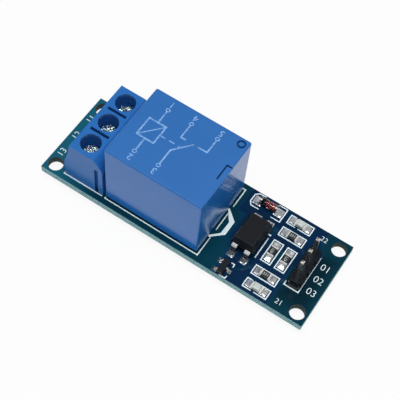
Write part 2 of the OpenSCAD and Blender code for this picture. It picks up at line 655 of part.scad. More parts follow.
circuit_board();
solder_joints();
solder_pads();
terminal_housing();
terminal_screw(1);  // terminal_screw_1
terminal_screw(2);  // terminal_screw_2
terminal_screw(3);  // terminal_screw_3
terminal_clamp(1);  // terminal_clamp_1
terminal_clamp(2);  // terminal_clamp_2
terminal_clamp(3);  // terminal_clamp_3
terminal_contact(1);  // terminal_contact_1
terminal_contact(2);  // terminal_contact_2
terminal_contact(3);  // terminal_contact_3
relay_case();
relay_base();
relay_bobbin();
relay_coil();
relay_core();
relay_yoke();
relay_armature();
relay_leaf_spring();
relay_moving_contact();
relay_contact_closed();
relay_contact_open();
relay_common_terminal();
relay_coil_pin(-1);  // relay_coil_pin_1
relay_coil_pin(1);  // relay_coil_pin_2
optocoupler_body();
optocoupler_leads();
transistor_body();
transistor_leads();
diode_glass();
diode_caps();
chip_resistor([pair_x, -outer_chip_y], 0);  // resistor_1
chip_resistor([pair_x - chip_half_gap, 0], 90);  // resistor_2
chip_resistor([pair_x + chip_half_gap, 0], 90);  // resistor_3
chip_resistor([pair_x, outer_chip_y], 0);  // resistor_4
led_base(-led_y);  // led_base_1
led_base(led_y);  // led_base_2
led_lens(-led_y);  // led_lens_1
led_lens(led_y);  // led_lens_2
header_base();
header_pin(1);  // header_pin_1
header_pin(2);  // header_pin_2
header_pin(3);  // header_pin_3
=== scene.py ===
"""Looks of the relay module: its finishes, and the pieces that are surfaces rather than machined parts.

Those are the printed legend, the relay's circuit sign, the solder fillets, the diode's glass and die, the
leaf spring, the LEDs' lenses and what shows under them, and the tracks under the mask. Sizes are in
millimetres until a piece is made, and in metres in the studio at the end.
"""
import json
import math

import bmesh
import bpy
import numpy as np
from mathutils import Matrix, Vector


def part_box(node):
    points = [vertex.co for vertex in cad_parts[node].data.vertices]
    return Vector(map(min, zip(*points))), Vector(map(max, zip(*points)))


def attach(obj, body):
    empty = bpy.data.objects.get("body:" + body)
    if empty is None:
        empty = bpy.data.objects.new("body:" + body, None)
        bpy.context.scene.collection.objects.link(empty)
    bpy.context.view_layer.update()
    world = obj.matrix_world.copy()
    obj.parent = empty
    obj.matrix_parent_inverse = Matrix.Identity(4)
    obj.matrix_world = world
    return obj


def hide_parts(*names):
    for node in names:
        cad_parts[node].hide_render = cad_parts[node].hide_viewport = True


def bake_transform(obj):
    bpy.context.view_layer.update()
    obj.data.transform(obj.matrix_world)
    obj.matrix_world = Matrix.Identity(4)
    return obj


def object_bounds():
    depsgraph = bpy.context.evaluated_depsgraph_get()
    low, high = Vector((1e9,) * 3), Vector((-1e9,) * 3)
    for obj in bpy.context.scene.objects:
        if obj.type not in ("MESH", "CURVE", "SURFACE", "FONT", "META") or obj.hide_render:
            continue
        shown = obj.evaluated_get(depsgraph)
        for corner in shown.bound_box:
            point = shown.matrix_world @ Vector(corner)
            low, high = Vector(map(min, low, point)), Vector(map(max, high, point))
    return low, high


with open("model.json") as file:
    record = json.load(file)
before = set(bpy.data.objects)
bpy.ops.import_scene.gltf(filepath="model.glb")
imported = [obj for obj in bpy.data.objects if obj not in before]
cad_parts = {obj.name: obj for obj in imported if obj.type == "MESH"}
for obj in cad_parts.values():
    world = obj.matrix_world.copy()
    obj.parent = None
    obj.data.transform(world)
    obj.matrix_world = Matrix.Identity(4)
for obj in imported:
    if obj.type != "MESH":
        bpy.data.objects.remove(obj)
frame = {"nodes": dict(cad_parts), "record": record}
cad_low, cad_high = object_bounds()

MM = 0.001
BODY = "module"
PI = math.pi


def span_mm(node):
    """Lowest and highest corner of a CAD node, in millimetres."""
    low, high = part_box(node)
    return np.array(low) / MM, np.array(high) / MM


def centre_mm(node):
    """Middle of a CAD node, in millimetres."""
    low, high = span_mm(node)
    return (low + high) / 2


def chip_lie(node):
    """Whether a chip's length runs along X, and half of that length."""
    low, high = span_mm(node)
    along_x = high[0] - low[0] > high[1] - low[1]
    return along_x, max(high[0] - low[0], high[1] - low[1]) / 2


board_low, board_high = span_mm("circuit_board")
deck = board_high[2]
block_low, block_high = span_mm("terminal_housing")
relay_low, relay_high = span_mm("relay_case")
opto = centre_mm("optocoupler_body")
transistor = centre_mm("transistor_body")
diode = centre_mm("diode_glass")
header = centre_mm("header_base")
resistors = ["resistor_1", "resistor_2", "resistor_3", "resistor_4"]
leds = ["1", "2"]

# ---------------------------------------------------------------- finishes


class Field:
    """A number that varies over a surface. Plain arithmetic on it adds math nodes to its material."""

    def __init__(self, tree, socket):
        self.tree, self.socket = tree, socket

    def do(self, operation, *others):
        """A math node of that operation on this field and the others, which are fields or numbers."""
        node = self.tree.nodes.new("ShaderNodeMath")
        node.operation = operation
        for slot, value in zip(node.inputs, (self, *others)):
            if isinstance(value, Field):
                self.tree.links.new(value.socket, slot)
            else:
                slot.default_value = value
        return Field(self.tree, node.outputs[0])

    def __add__(self, other):
        return self.do("ADD", other)

    def __sub__(self, other):
        return self.do("SUBTRACT", other)

    def __mul__(self, other):
        return self.do("MULTIPLY", other)

    def size(self):
        """Without its sign."""
        return self.do("ABSOLUTE")

    def flip(self):
        """0 where it was 1, and 1 where it was 0."""
        return self * -1.0 + 1.0

    def most(self, other):
        """The greater of the two: inside either area."""
        return self.do("MAXIMUM", other)

    def least(self, other):
        """The lesser of the two: inside both areas."""
        return self.do("MINIMUM", other)

    def step(self, low, high):
        """0 below low and 1 above high, with a smooth rise between; a low above high falls instead."""
        node = self.tree.nodes.new("ShaderNodeMapRange")
        node.interpolation_type = "SMOOTHSTEP"
        falling = low > high
        self.tree.links.new(self.socket, node.inputs["Value"])
        node.inputs["From Min"].default_value = min(low, high)
        node.inputs["From Max"].default_value = max(low, high)
        node.inputs["To Min"].default_value = 1.0 if falling else 0.0
        node.inputs["To Max"].default_value = 0.0 if falling else 1.0
        return Field(self.tree, node.outputs["Result"])


class Finish:
    """One procedural material. Patterns are laid out in millimetres on the piece's own coordinates."""

    def __init__(self, name, colour, roughness, metallic=0.0, **plain):
        self.material = bpy.data.materials.new(name)
        self.material.use_nodes = True
        self.tree = self.material.node_tree
        self.shader = self.tree.nodes["Principled BSDF"]
        self.set("Base Color", (*colour, 1.0))
        self.set("Roughness", roughness)
        self.set("Metallic", metallic)
        for socket, value in plain.items():
            self.set(socket.replace("_", " "), value)
        where = self.tree.nodes.new("ShaderNodeTexCoord")
        scale = self.tree.nodes.new("ShaderNodeVectorMath")
        scale.operation = "SCALE"
        scale.inputs["Scale"].default_value = 1 / MM
        self.tree.links.new(where.outputs["Object"], scale.inputs[0])
        self.place = scale.outputs[0]
        parts = self.tree.nodes.new("ShaderNodeSeparateXYZ")
        self.tree.links.new(self.place, parts.inputs[0])
        self.x, self.y, self.z = (Field(self.tree, s) for s in parts.outputs)

    def set(self, socket, value):
        """One value all over, on the shader's own socket."""
        self.shader.inputs[socket].default_value = value

    def drive(self, socket, field):
        """A value that follows a field."""
        self.tree.links.new(field.socket, self.shader.inputs[socket])

    def noise(self, per_mm, detail=3.0, stretch=(1, 1, 1)):
        """Soft random field from 0 to 1 with per_mm lumps to the millimetre, drawn out by stretch."""
        squeeze = self.tree.nodes.new("ShaderNodeVectorMath")
        squeeze.operation = "MULTIPLY"
        squeeze.inputs[1].default_value = [1 / s for s in stretch]
        self.tree.links.new(self.place, squeeze.inputs[0])
        node = self.tree.nodes.new("ShaderNodeTexNoise")
        node.inputs["Scale"].default_value = per_mm
        node.inputs["Detail"].default_value = detail
        self.tree.links.new(squeeze.outputs[0], node.inputs["Vector"])
        return Field(self.tree, node.outputs["Fac"])

    def mix(self, amount, low, high):
        """Colour that goes from low to high as amount goes from 0 to 1."""
        node = self.tree.nodes.new("ShaderNodeMix")
        node.data_type = "RGBA"
        self.tree.links.new(amount.socket, node.inputs["Factor"])
        for slot, colour in ((node.inputs[6], low), (node.inputs[7], high)):
            if isinstance(colour, tuple):
                slot.default_value = (*colour, 1.0)
            else:
                self.tree.links.new(colour, slot)
        return node.outputs[2]

    def colour(self, socket):
        """Colour of the surface, from mix."""
        self.tree.links.new(socket, self.shader.inputs["Base Color"])

    def bump(self, height, depth_mm):
        """A field that lifts the surface by depth_mm where it is 1, on top of any bump before it."""
        node = self.tree.nodes.new("ShaderNodeBump")
        node.inputs["Distance"].default_value = depth_mm * MM
        self.tree.links.new(height.socket, node.inputs["Height"])
        last = self.shader.inputs["Normal"]
        if last.is_linked:
            self.tree.links.new(last.links[0].from_socket, node.inputs["Normal"])
        self.tree.links.new(node.outputs[0], last)

    def round_edges(self, radius_mm):
        """Sharp edges catch the light as if they were rounded to radius_mm."""
        node = self.tree.nodes.new("ShaderNodeBevel")
        node.samples = 6
        node.inputs["Radius"].default_value = radius_mm * MM
        self.tree.links.new(node.outputs[0], self.shader.inputs["Normal"])

    def inside(self, x0, x1, y0, y1, soft=0.1):
        """1 inside a rectangle seen from above and 0 outside, with an edge soft millimetres wide."""
        wide = (self.x - (x0 + x1) / 2).size() - (x1 - x0) / 2
        tall = (self.y - (y0 + y1) / 2).size() - (y1 - y0) / 2
        return wide.most(tall).step(soft / 2, -soft / 2)

    def any_of(self, *rectangles):
        """1 inside any of the rectangles, each given as inside takes it."""
        whole = self.inside(*rectangles[0])
        for rectangle in rectangles[1:]:
            whole = whole.most(self.inside(*rectangle))
        return whole

    def disc(self, x0, y0, radius, soft=0.1):
        """1 inside a circle seen from above and 0 outside."""
        dx, dy = self.x - x0, self.y - y0
        away = (dx * dx + dy * dy).do("SQRT")
        return away.step(radius + soft / 2, radius - soft / 2)


def moulding(name, colour, roughness, grain_mm=0.004, per_mm=9.0, edge_mm=0.06, **plain):
    """Moulded plastic: a fine eroded grain, faint flow shading and a roughness that wanders a little."""
    f = Finish(name, colour, roughness, **plain)
    f.round_edges(edge_mm)
    flow, shade = f.noise(0.22, detail=2.0), 0.12
    dark = tuple(c * (1 - shade) for c in colour)
    light = tuple(min(1.0, c * (1 + shade)) for c in colour)
    f.colour(f.mix(flow, dark, light))
    grain = f.noise(per_mm, detail=4.0)
    f.bump(grain, grain_mm)
    f.drive("Roughness", f.noise(1.5, detail=2.0) * 0.1 + (roughness - 0.05))
    return f


DULL_METAL = (0.35, 0.75)  # where the noise that dulls a metal starts and ends


def metal(name, colour, roughness, per_mm, stretch=(1, 1, 1), depth_mm=0.004, tarnish=0.15, metallic=1.0,
          edge_mm=0.04):
    """Plated or drawn metal: streaks along the way it was worked, and patches that have dulled."""
    f = Finish(name, colour, roughness, metallic)
    f.round_edges(edge_mm)
    dull = f.noise(0.9).step(*DULL_METAL)
    f.colour(f.mix(dull, colour, tuple(c * (1 - tarnish) for c in colour)))
    streaks = f.noise(per_mm, stretch=stretch)
    f.drive("Roughness", streaks * 0.22 + dull * 0.08 + (roughness - 0.12))
    f.bump(streaks, depth_mm)
    return f


def reflowed_solder():
    """Soft bright solder, with painted dark reflection round the optocoupler's and the transistor's feet,
    broken by painted glints.
    """
    fresh = (0.84, 0.86, 0.87)
    f = metal("solder", fresh, 0.24, per_mm=1.9, depth_mm=0.035, metallic=0.74, edge_mm=0.14)
    painted_dark_by_feet = f.any_of(
        (opto[0] - 2.4, opto[0] + 2.4, board_low[1], opto[1], 0.3),
        (transistor[0] - 2.6, transistor[0] + 2.6, board_low[1], transistor[1] + 2.2, 0.3),
    )
    painted_glint_specks = f.noise(3.2, detail=2.0).step(0.56, 0.66)
    bright = f.mix(f.noise(0.9).step(*DULL_METAL), fresh, (0.6, 0.62, 0.63))
    # Painted dark reflection round the feet, with painted glints where the specks are
    f.colour(f.mix(painted_dark_by_feet.least(painted_glint_specks.flip()), bright, (0.13, 0.16, 0.19)))
    return f


def gull_wing_tin():
    """Tinned leads, with a painted highlight on the shoulders and painted dark reflection on the legs down to
    their feet, streaked with painted glints.
    """
    f = metal("gull_wing_tin", (0.74, 0.76, 0.74), 0.22, per_mm=7.0, depth_mm=0.006, metallic=0.7)
    bend_z = span_mm("optocoupler_leads")[1][2]
    # Painted highlight on the shoulders above the bend, painted dark reflection on the legs below it
    painted_highlight_shoulder = f.z.step(bend_z - 0.45, bend_z - 0.2)
    painted_glint_streak = f.noise(5.0, detail=2.0, stretch=(0.4, 1, 3)).step(0.55, 0.7) * 0.5
    f.colour(f.mix(painted_highlight_shoulder.most(painted_glint_streak), (0.07, 0.085, 0.1), (0.8, 0.84, 0.84)))
    return f


def optocoupler_black():
    """Black epoxy, paler on the top, with painted highlights where the mould's halves met and along the top's
    edge, broken up by noise.
    """
    f = moulding("optocoupler_black", (0.004, 0.008, 0.012), 0.42, grain_mm=0.012, per_mm=7.0, edge_mm=0.1,
                 Specular_IOR_Level=0.13)
    low, high = span_mm("optocoupler_body")
    top_x, top_y = (high[0] - low[0]) / 2 - 0.6, (high[1] - low[1]) / 2 - 0.55
    flat = f.inside(opto[0] - top_x, opto[0] + top_x, -top_y, top_y, 0.04)
    # Painted highlights: rim is a band along the top's edge, and the seam line runs where the mould's halves
    # met
    rim = flat.flip().least(f.z.step(high[2] - 0.1, high[2] - 0.06))
    painted_seam_highlight = (f.z - float(opto[2])).size().step(0.05, 0.02)
    painted_highlight_breakup = f.noise(1.6).step(0.4, 0.6)
    walls = f.mix(f.noise(0.22, detail=2.0), (0.003, 0.006, 0.01), (0.0045, 0.009, 0.014))
    black = f.mix(f.z.step(high[2] - 0.3, high[2] - 0.05), walls, (0.0115, 0.0125, 0.0155))
    f.colour(f.mix(rim.most(painted_seam_highlight) * painted_highlight_breakup, black, (0.034, 0.042, 0.048)))
    return f


def solder_mask():
    """Blue mask over laminate: darker over copper, with a painted highlight along the copper's edges, and
    none on cut edges.
    """
    f = Finish("solder_mask_blue", (0.004, 0.06, 0.1), 0.2, Specular_IOR_Level=0.12)
    # On top, copper lies round the driver parts
    top_copper = f.any_of((6.4, 20.1, -9.6, 9.6, 0.7), (15.0, 23.4, -0.4, 9.6, 0.7))
    by_hole = f.disc(25.15, 7.15, 3.1, 0.7)
    clear = by_hole.most(f.any_of(
        (4.0, 9.4, -9.6, -2.4, 1.8),    # between the relay and the transistor
        (2.0, 7.9, -4.2, 3.6, 0.8),     # inside the eight-sided collar
        (16.8, 17.6, -1.3, 1.1, 0.3),   # between the two resistors that lie along Y
        (13.4, 14.4, 3.0, 4.6, 0.5),    # past the optocoupler's back corner
    ))
    under_copper = f.any_of(
        (-20.0, -9.0, 3.0, 8.0, 0.3),   # lanes of the three poles
        (-20.0, -9.0, -8.0, -3.0, 0.3),
        (-20.0, 4.6, -1.8, 1.8, 0.3),
        (6.0, 24.4, -7.4, 7.4, 0.4),    # below the driver parts
    )
    under = f.z.step(0.9, 0.7)
    copper = top_copper.least(clear.flip()) * under.flip() + under_copper * under
    # rim is a painted highlight along the copper's edges
    rim = copper * copper.flip() * 4.0
    cloud = f.noise(0.16, detail=2.0)
    grain = f.noise(2.4)
    # Bare mask is paler towards the block's end and darker by the header
    bare = f.mix(cloud, (0.001, 0.024, 0.042), (0.002, 0.052, 0.086))
    bare = f.mix(f.x.step(-14.0, -25.0), bare, (0.008, 0.108, 0.165))
    bare = f.mix(f.inside(20.5, 26.0, -6.5, 4.5, 3.0) * 0.7, bare, (0.001, 0.011, 0.022))
    over = f.mix(cloud, (0.001, 0.012, 0.04), (0.002, 0.03, 0.088))
    mask = f.mix(rim * 0.25, f.mix(copper, bare, over), (0.004, 0.055, 0.17))
    # Laminate shows on the outline, and darker inside the mounting holes
    cut = f.z.step(0.05, 0.09).least(f.z.step(deck - 0.05, deck - 0.09))
    layers = f.noise(7.0, stretch=(4, 4, 0.6))
    laminate = f.mix(layers.step(0.3, 0.7), (0.11, 0.26, 0.3), (0.38, 0.64, 0.66))
    holes_from, outline_x, outline_y = 23.6, 26.8, 8.8
    drilled = f.inside(-holes_from, holes_from, -9.2, 9.2).flip()
    for from_middle, outline in ((f.x.size(), outline_x), (f.y.size(), outline_y)):
        drilled = drilled.least((from_middle - outline).step(0.05, -0.05))
    f.colour(f.mix(cut, mask, f.mix(drilled, laminate, (0.07, 0.1, 0.09))))
    f.drive("Roughness", cut * 0.5 + grain * 0.1 + 0.14)
    f.bump(copper, 0.03)
    f.bump(grain, 0.004)
    f.bump(layers * cut, 0.02)
    return f


def blue_relay_case():
    """Blue relay plastic: eroded top, polished sides, painted light that makes the walls a brighter blue than
    the top, and painted shade in the top's ring and hooked groove.
    """
    f = Finish("relay_blue", (0.02, 0.13, 0.45), 0.3, Specular_IOR_Level=0.37,
               Specular_Tint=(0.85, 0.95, 1.0, 1.0))
    top = f.z.step(relay_high[2] - 0.3, relay_high[2] - 0.05)
    sunk = f.z.step(relay_high[2] - 0.02, relay_high[2] - 0.1)
    right, rim = relay_high[0], 0.36
    # Painted shade in the top's sunk ring and hooked groove
    painted_shade_recess = sunk.least(f.inside(right - 3.0, right - rim, relay_low[1] + rim, relay_high[1] - rim))
    flow = f.noise(0.15, detail=2.0)
    # Painted light: the walls get a brighter blue than the top, standing in for how each face is lit
    walls = f.mix(flow, (0.012, 0.14, 0.48), (0.02, 0.168, 0.55))
    plain = f.mix(top, walls, f.mix(flow, (0.018, 0.132, 0.425), (0.028, 0.158, 0.485)))
    # The painted shade is lighter on the ring's side
    ring_side = f.y.step(relay_high[1] - 3.6, relay_high[1] - 3.2)
    f.colour(f.mix(painted_shade_recess, plain, f.mix(ring_side, (0.006, 0.055, 0.19), (0.01, 0.08, 0.28))))
    grain = f.noise(11.0, detail=4.0)
    f.bump(grain * top + f.noise(1.2, detail=2.0) * 0.35, 0.005)
    f.drive("Roughness", top * 0.25 + grain * 0.06 + 0.15)
    return f


def blue_housing():
    """Blue nylon: satin, with a grain, soft flow shading and painted shade inside the screw wells."""
    f = Finish("housing_blue", (0.02, 0.13, 0.46), 0.38, Specular_IOR_Level=0.3,
               Specular_Tint=(0.7, 0.9, 1.0, 1.0))
    f.round_edges(0.08)
    flow, well_radius = f.noise(0.4), 2.0
    first, second, third = (f.disc(*centre_mm("terminal_screw_" + n)[:2], well_radius) for n in "123")
    # Painted shade inside the screw wells, below their top
    painted_shade_well = first.most(second).most(third).least(f.z.step(block_high[2] - 0.05, block_high[2] - 1.2))
    plain = f.mix(flow, (0.017, 0.135, 0.44), (0.026, 0.165, 0.51))
    f.colour(f.mix(painted_shade_well, plain, (0.001, 0.095, 0.38)))
    grain = f.noise(9.0, detail=4.0)
    f.bump(grain, 0.006)
    f.drive("Roughness", painted_shade_well * 0.4 + grain * 0.14 + 0.28)
    return f


def chip_resistor_finish(name, node):
    """Black glaze in the middle, and tinned caps with bright lips at both ends of a chip resistor."""
    f = Finish(name, (0.03, 0.03, 0.03), 0.3)
    along_x, half = chip_lie(node)
    along = (f.x - centre_mm(node)[0] if along_x else f.y - centre_mm(node)[1]).size()
    cap = along.step(half - 0.37, half - 0.33)
    lip = along.step(half - 0.2, half - 0.24).least(cap)
    lumps = f.noise(5.0, detail=2.0)
    glaze = f.mix(lumps, (0.012, 0.012, 0.014), (0.03, 0.03, 0.034))
    tin = f.mix(lumps.step(0.3, 0.7), (0.45, 0.46, 0.45), (0.85, 0.85, 0.83))
    f.colour(f.mix(cap, glaze, f.mix(lip, tin, (0.85, 0.86, 0.84))))
    f.drive("Metallic", cap * 0.55 - lip * 0.4)
    f.drive("Roughness", lumps * 0.2 + 0.22)
    f.bump(lumps, 0.015)
    return f


def led_base_finish(name, node):
    """White laminate with pale tinned ends, under an LED's lens."""
    f = Finish(name, (0.75, 0.75, 0.7), 0.45)
    half = chip_lie(node)[1]
    cap = (f.x - centre_mm(node)[0]).size().step(half - 0.24, half - 0.2)
    fibres = f.noise(8.0, detail=2.0)
    board = f.mix(fibres, (0.66, 0.68, 0.6), (0.8, 0.8, 0.74))
    tin = f.mix(fibres, (0.72, 0.72, 0.66), (0.9, 0.9, 0.84))
    f.colour(f.mix(cap, board, tin))
    f.drive("Metallic", cap * 0.5)
    f.drive("Roughness", fibres * 0.2 + 0.25)
    f.bump(fibres, 0.01)
    return f


FINISHES = {
    "board_mask": solder_mask(),
    "relay_blue": blue_relay_case(),
    "housing_blue": blue_housing(),
    "relay_base_blue": moulding("relay_base_blue", (0.014, 0.09, 0.33), 0.5),
    "bobbin_white": moulding("bobbin_white", (0.78, 0.75, 0.66), 0.45),
    "moulding_black": moulding("moulding_black", (0.006, 0.01, 0.015), 0.42, grain_mm=0.012, per_mm=7.0,
                               Specular_IOR_Level=0.2),
    "header_black": moulding("header_black", (0.003, 0.006, 0.011), 0.3, grain_mm=0.006, edge_mm=0.12,
                             Specular_IOR_Level=0.25),
    # The next two are for CAD nodes that a piece of this file replaces
    "led_lens_clear": moulding("led_lens_clear", (0.74, 0.76, 0.62), 0.15, grain_mm=0.002),
    "diode_red_glass": moulding("diode_red_glass", (0.5, 0.06, 0.03), 0.1, grain_mm=0.002),
    "solder": reflowed_solder(),
    "tinned_copper": metal("tinned_copper", (0.74, 0.76, 0.74), 0.22, per_mm=7.0, depth_mm=0.006,
                           metallic=0.7),
    "pin_plating": metal("pin_plating", (0.66, 0.66, 0.62), 0.2, per_mm=7.0, stretch=(1, 1, 12),
                         depth_mm=0.0015),
    "screw_steel": metal("screw_steel", (0.82, 0.95, 0.95), 0.17, per_mm=2.6, depth_mm=0.13, tarnish=0.6),
    "clamp_steel": metal("clamp_steel", (0.6, 0.6, 0.57), 0.38, per_mm=9.0, stretch=(6, 1, 1)),
    "copper_wire": metal("copper_wire", (0.62, 0.25, 0.09), 0.3, per_mm=6.0, stretch=(20, 20, 0.4),
                         depth_mm=0.03),
    "soft_iron": metal("soft_iron", (0.4, 0.4, 0.41), 0.42, per_mm=8.0, stretch=(1, 8, 8)),
    "spring_bronze": metal("spring_bronze", (0.72, 0.48, 0.25), 0.28, per_mm=8.0, stretch=(8, 1, 8)),
    "contact_silver": metal("contact_silver", (0.8, 0.8, 0.78), 0.2, per_mm=9.0),
}

# Finishes that belong to one piece only
OWN_FINISHES = {
    "diode_caps": metal("diode_end", (0.32, 0.31, 0.3), 0.3, per_mm=7.0, depth_mm=0.006),
    "optocoupler_body": optocoupler_black(),
    "optocoupler_leads": gull_wing_tin(),
}

for subpart in frame["record"]["subparts"]:
    node = frame["nodes"][subpart["node"]]
    if node.name in resistors:
        finish = chip_resistor_finish(node.name + "_finish", node.name)
    elif node.name in OWN_FINISHES:
        finish = OWN_FINISHES[node.name]
    elif node.name.startswith("led_base"):
        finish = led_base_finish(node.name + "_finish", node.name)
    else:
        finish = FINISHES[subpart["material_slot"]]
    node.data.materials.clear()
    node.data.materials.append(finish.material)

# ---------------------------------------------------------------- surfaces

MERGE_M, SLIVER_M = 1e-7, 1e-8  # corners this near become one, and edges this short go
PROFILE_POINTS = 7              # across a printed line
MITRE_LIMIT = 0.35              # stops a sharp turn from throwing a long spike


def grid_faces(rows, columns, first, joined):
    """Corner numbers of the quads of a grid of points, from first on. A joined row meets its own start."""
    row = np.arange(rows - 1)[:, None]
    column = np.arange(columns if joined else columns - 1)[None, :]
    after = (column + 1) % columns
    here, below = row * columns, (row + 1) * columns
    return first + np.stack([here + column, below + column, below + after, here + after], -1).reshape(-1, 4)


def piece(name, grids, finish, body=BODY, smooth=True, joined=False):
    """One object from grids of points in millimetres, its doubles merged and its faces turned outwards."""
    points = np.concatenate([grid.reshape(-1, 3) for grid in grids]) * MM
    faces, first = [], 0
    for grid in grids:
        rows, columns = grid.shape[:2]
        faces.append(grid_faces(rows, columns, first, joined))
        first += rows * columns
    mesh = bpy.data.meshes.new(name)
    mesh.from_pydata(points, [], np.concatenate(faces))
    shell = bmesh.new()
    shell.from_mesh(mesh)
    bmesh.ops.remove_doubles(shell, verts=shell.verts, dist=MERGE_M)
    bmesh.ops.dissolve_degenerate(shell, edges=shell.edges, dist=SLIVER_M)
    bmesh.ops.recalc_face_normals(shell, faces=shell.faces)
    shell.to_mesh(mesh)
    shell.free()
    mesh.polygons.foreach_set("use_smooth", np.full(len(mesh.polygons), smooth))
    return settle(bpy.data.objects.new(name, mesh), finish, body)


def settle(obj, finish, body):
    """Gives a piece its finish and puts it on its body, if it has one."""
    bpy.context.scene.collection.objects.link(obj)
    obj.data.materials.append(finish.material)
    if body:
        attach(obj, body)
    return obj


def stroke(corners, width, height, z, closed=False):
    """Printed line: a low domed profile carried along corners, mitred where the line turns.

    Across the line the profile is a half ellipse, width wide and height high, standing on z. An open line
    gets a cap at each end.
    """
    p = np.asarray(corners, float)
    before = np.roll(p, 1, 0) if closed else np.vstack([2 * p[0] - p[1], p[:-1]])
    after = np.roll(p, -1, 0) if closed else np.vstack([p[1:], 2 * p[-1] - p[-2]])
    come, go = p - before, after - p
    come /= np.linalg.norm(come, axis=1)[:, None]
    go /= np.linalg.norm(go, axis=1)[:, None]
    middle = (come + go) / np.linalg.norm(come + go, axis=1)[:, None]
    sideways = np.stack([-middle[:, 1], middle[:, 0]], 1)
    sideways /= np.clip((come * middle).sum(1), MITRE_LIMIT, 1)[:, None]
    turn = np.linspace(0, PI, PROFILE_POINTS)
    across, up = -np.cos(turn) * width / 2, np.sin(turn) * height
    flat = p[:, None, :] + sideways[:, None, :] * across[None, :, None]
    lift = np.broadcast_to((z + up)[None, :, None], (len(p), len(turn), 1))
    line = np.concatenate([flat, lift], 2)
    if closed:
        return np.concatenate([line, line[:1]])
    start, end = (np.repeat(rim[[0, -1]].mean(0)[None], len(turn), 0)[None] for rim in (line[0], line[-1]))
    return np.concatenate([start, line, end])


def band(outer, inner, height, z):
    """Printed collar between two outlines: across it, height follows a half ellipse from one to the other."""
    wide, narrow = (np.asarray(line + line[:1], float)[:, None, :] for line in (outer, inner))
    turn = np.linspace(0, PI, PROFILE_POINTS)[None, :, None]
    flat = wide + (narrow - wide) * (1 - np.cos(turn)) / 2
    return np.concatenate([flat, z + height * np.sin(turn) + 0 * flat[:, :, :1]], 2)


def oblong(x0, x1, y0, y1):
    """Corners of a rectangle, in turn."""
    return [(x0, y0), (x1, y0), (x1, y1), (x0, y1)]


def shifted(centre, points):
    """Points measured from a centre, as points on the board."""
    return [(centre[0] + x, centre[1] + y) for x, y in points]


# ---------------------------------------------------------------- printed legend

legend_ink = Finish("legend_white", (0.9, 0.94, 0.95), 0.6)
speckle = legend_ink.noise(6.0, detail=3.0)
legend_ink.colour(legend_ink.mix(speckle.step(0.25, 0.6), (0.72, 0.9, 1.0), (0.86, 0.97, 1.0)))
legend_ink.bump(speckle, 0.006)

LINE_WIDE, MARK_WIDE, HAIR_WIDE, INK_HIGH = 0.21, 0.34, 0.13, 0.02
relay_near, relay_far = relay_low[1] - 0.15, relay_high[1] + 0.18
relay_out, relay_in = relay_high[0] + 0.35, relay_low[0] + 0.02
block_side, block_end = block_low[0] + 8.1, block_low[0] - 0.12
opto_bar = opto[0] + 2.5


def printed(corners, width=LINE_WIDE, closed=False):
    """Line of white ink on the board."""
    return stroke(corners, width, INK_HIGH, deck, closed)


strokes = [printed(line) for line in (
    # Terminal block, then the relay's three broken sides
    [(block_side, relay_near + 0.05), (block_end, relay_near + 0.03), (block_end, 7.8), (block_side, 7.8)],
    [(relay_in, relay_near + 0.3), (relay_in, relay_near), (relay_out, relay_near), (relay_out, -3.65)],
    [(relay_out, -1.88), (relay_out, 2.06)],
    [(relay_out, 3.7), (relay_out, relay_far), (relay_in, relay_far)],
    # Diode, optocoupler's bar, header's corner and the transistor's corners
    shifted(diode, [(-1.3, 1.55), (-2.66, 1.45), (-3.27, 0.87), (-3.3, -0.75), (-2.8, -1.4), (-1.2, -1.38)]),
    shifted(diode, [(1.4, 1.45), (3.15, 1.45), (3.15, -1.47), (1.3, -1.47)]),
    [(opto_bar, -2.6), (opto_bar, 2.0)],
    shifted(header, [(-1.55, -3.2), (-1.55, -4.01), (1.25, -4.01), (1.27, -3.3)]),
    shifted(transistor, [(0.02, -1.45), (1.25, -1.45), (1.32, -0.85)]),
    shifted(transistor, [(0.65, 1.66), (1.26, 1.66), (1.32, 1.0)]),
)]
strokes.append(printed([(opto[0] + 2.0, 2.62), (opto[0] + 2.6, 2.6)], MARK_WIDE))
strokes.append(printed(shifted(header, [(1.27, -3.3), (1.27, 3.94)]), HAIR_WIDE))
for node in resistors:
    out_x, out_y = (2.33, 0.92) if chip_lie(node)[0] else (0.92, 2.33)
    strokes.append(printed(shifted(centre_mm(node), oblong(-out_x, out_x, -out_y, out_y)), closed=True))
for n in leds:
    for corners in ([(-0.6, -0.92), (-2.3, -0.92), (-2.3, 0.9), (-1.2, 0.9)],
                    [(-0.1, -0.92), (2.3, -0.92), (2.3, 0.9), (-0.9, 0.9)]):
        strokes.append(printed(shifted(centre_mm("led_base_" + n), corners)))

# Eight-sided collar beside the common terminal, half hidden under the relay: wide sides, thin slopes
collar = (3.95, -0.36)
collar_out = [(1.3, -3.4), (3.42, -1.42), (3.42, 1.6), (1.3, 3.4),
              (-1.3, 3.4), (-3.4, 1.4), (-3.4, -1.4), (-1.3, -3.4)]
collar_in = [(1.2, -2.95), (2.55, -1.6), (2.62, 1.0), (1.2, 2.95),
             (-1.2, 2.95), (-2.6, 1.2), (-2.6, -1.2), (-1.2, -2.95)]
strokes.append(band(shifted(collar, collar_out), shifted(collar, collar_in), INK_HIGH, deck))
piece("board_legend", strokes, legend_ink)

FIGURE_SHARE = 0.72             # of the font's size is the height of a figure
THIN, THINNER = -0.015, -0.02   # weights of the board's figures


